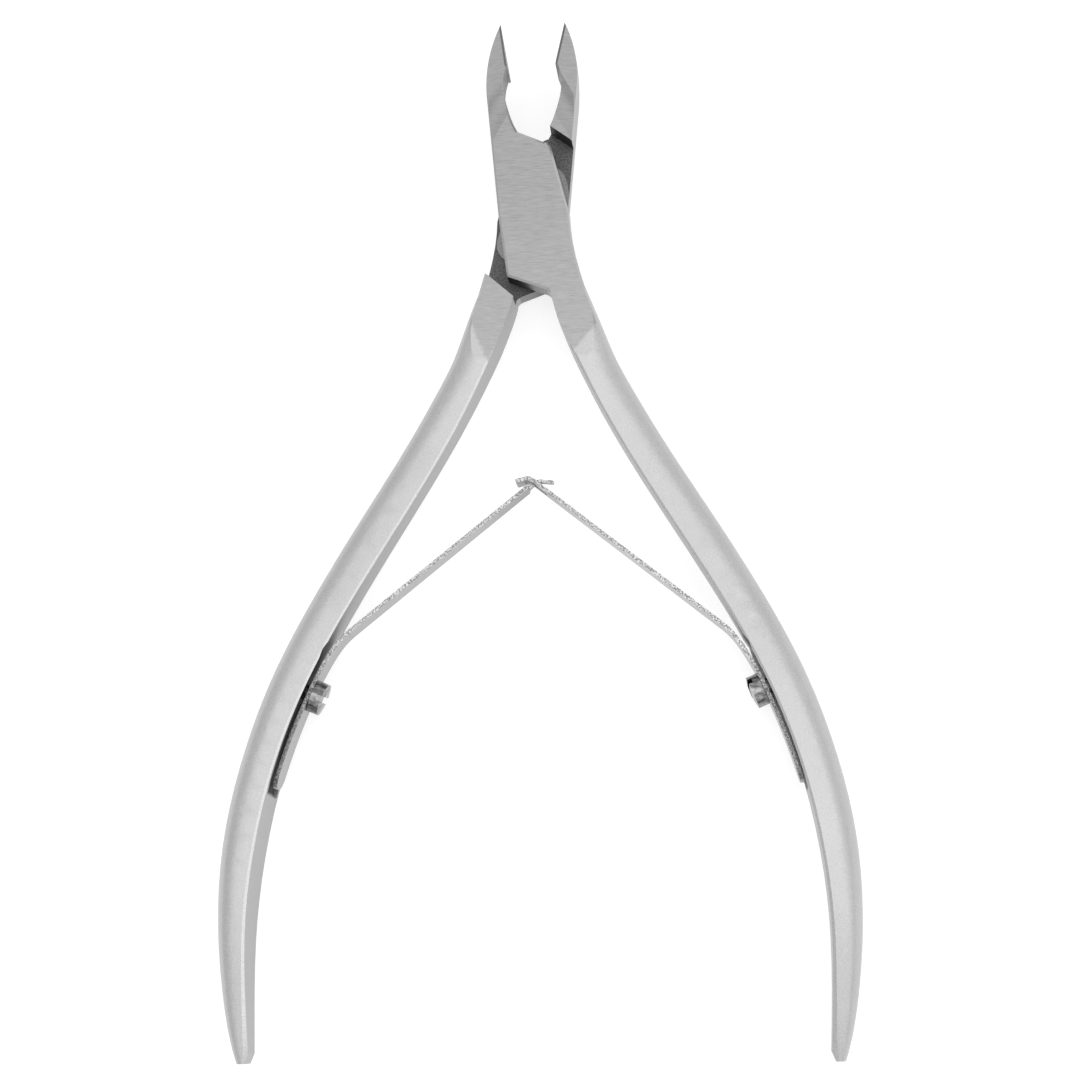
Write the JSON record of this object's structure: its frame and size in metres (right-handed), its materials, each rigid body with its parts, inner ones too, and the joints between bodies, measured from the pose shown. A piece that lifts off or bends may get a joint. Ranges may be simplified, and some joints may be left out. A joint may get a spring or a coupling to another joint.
{
  "type": "cuticle nipper",
  "caption": "Lap-joint cuticle nipper with narrow pointed jaws, bowed crowned handles and two hooked leaf springs that hold the handles open.",
  "frame": {"origin": "on the pivot axis, at the flat underside of the head", "axes": "+Y along the middle line towards the jaw tips, +Z along the pivot axis through the thickness, +X to the side of the right handle; the handles stand open as the springs hold them"},
  "size_m": [0.0616, 0.104, 0.0064],
  "materials": {
    "lever_steel": "head ground and brushed across, handles satin blasted, lap recess as forged",
    "rivet_steel": "ground flush with the head",
    "spring_steel": "rolled strip with sheared, slightly rough edges",
    "screw_steel": "turned and polished"
  },
  "bodies": {
    "lower": {"lower_lever": "lever_steel", "left_spring_screw": "screw_steel", "left_leaf_clamp": "spring_steel"},
    "upper": {"upper_lever": "lever_steel", "pivot_rivet": "rivet_steel", "right_spring_screw": "screw_steel", "right_leaf_clamp": "spring_steel"},
    "left_arm": {"left_leaf_arm": "spring_steel"},
    "right_arm": {"right_leaf_arm": "spring_steel"}
  },
  "joints": [
    {"name": "pivot", "type": "hinge", "parent": "lower", "child": "upper", "pos_m": [0, 0, 0], "axis": [0, 0, -1], "range_deg": [0, 17.7], "stiffness_Nm_per_rad": 0.6},
    {"name": "left_leaf_bend", "type": "hinge", "parent": "lower", "child": "left_arm", "pos_m": [-0.0183, -0.04183, 0], "axis": [0, 0, 1], "range_deg": [0, 12.6]},
    {"name": "right_leaf_bend", "type": "hinge", "parent": "upper", "child": "right_arm", "pos_m": [0.0183, -0.04183, 0], "axis": [0, 0, -1], "range_deg": [0, 12.6]}
  ],
  "couplings": [
    {"joint": "left_leaf_bend", "follows": "pivot", "ratio": 0.71},
    {"joint": "right_leaf_bend", "follows": "pivot", "ratio": 0.71}
  ]
}
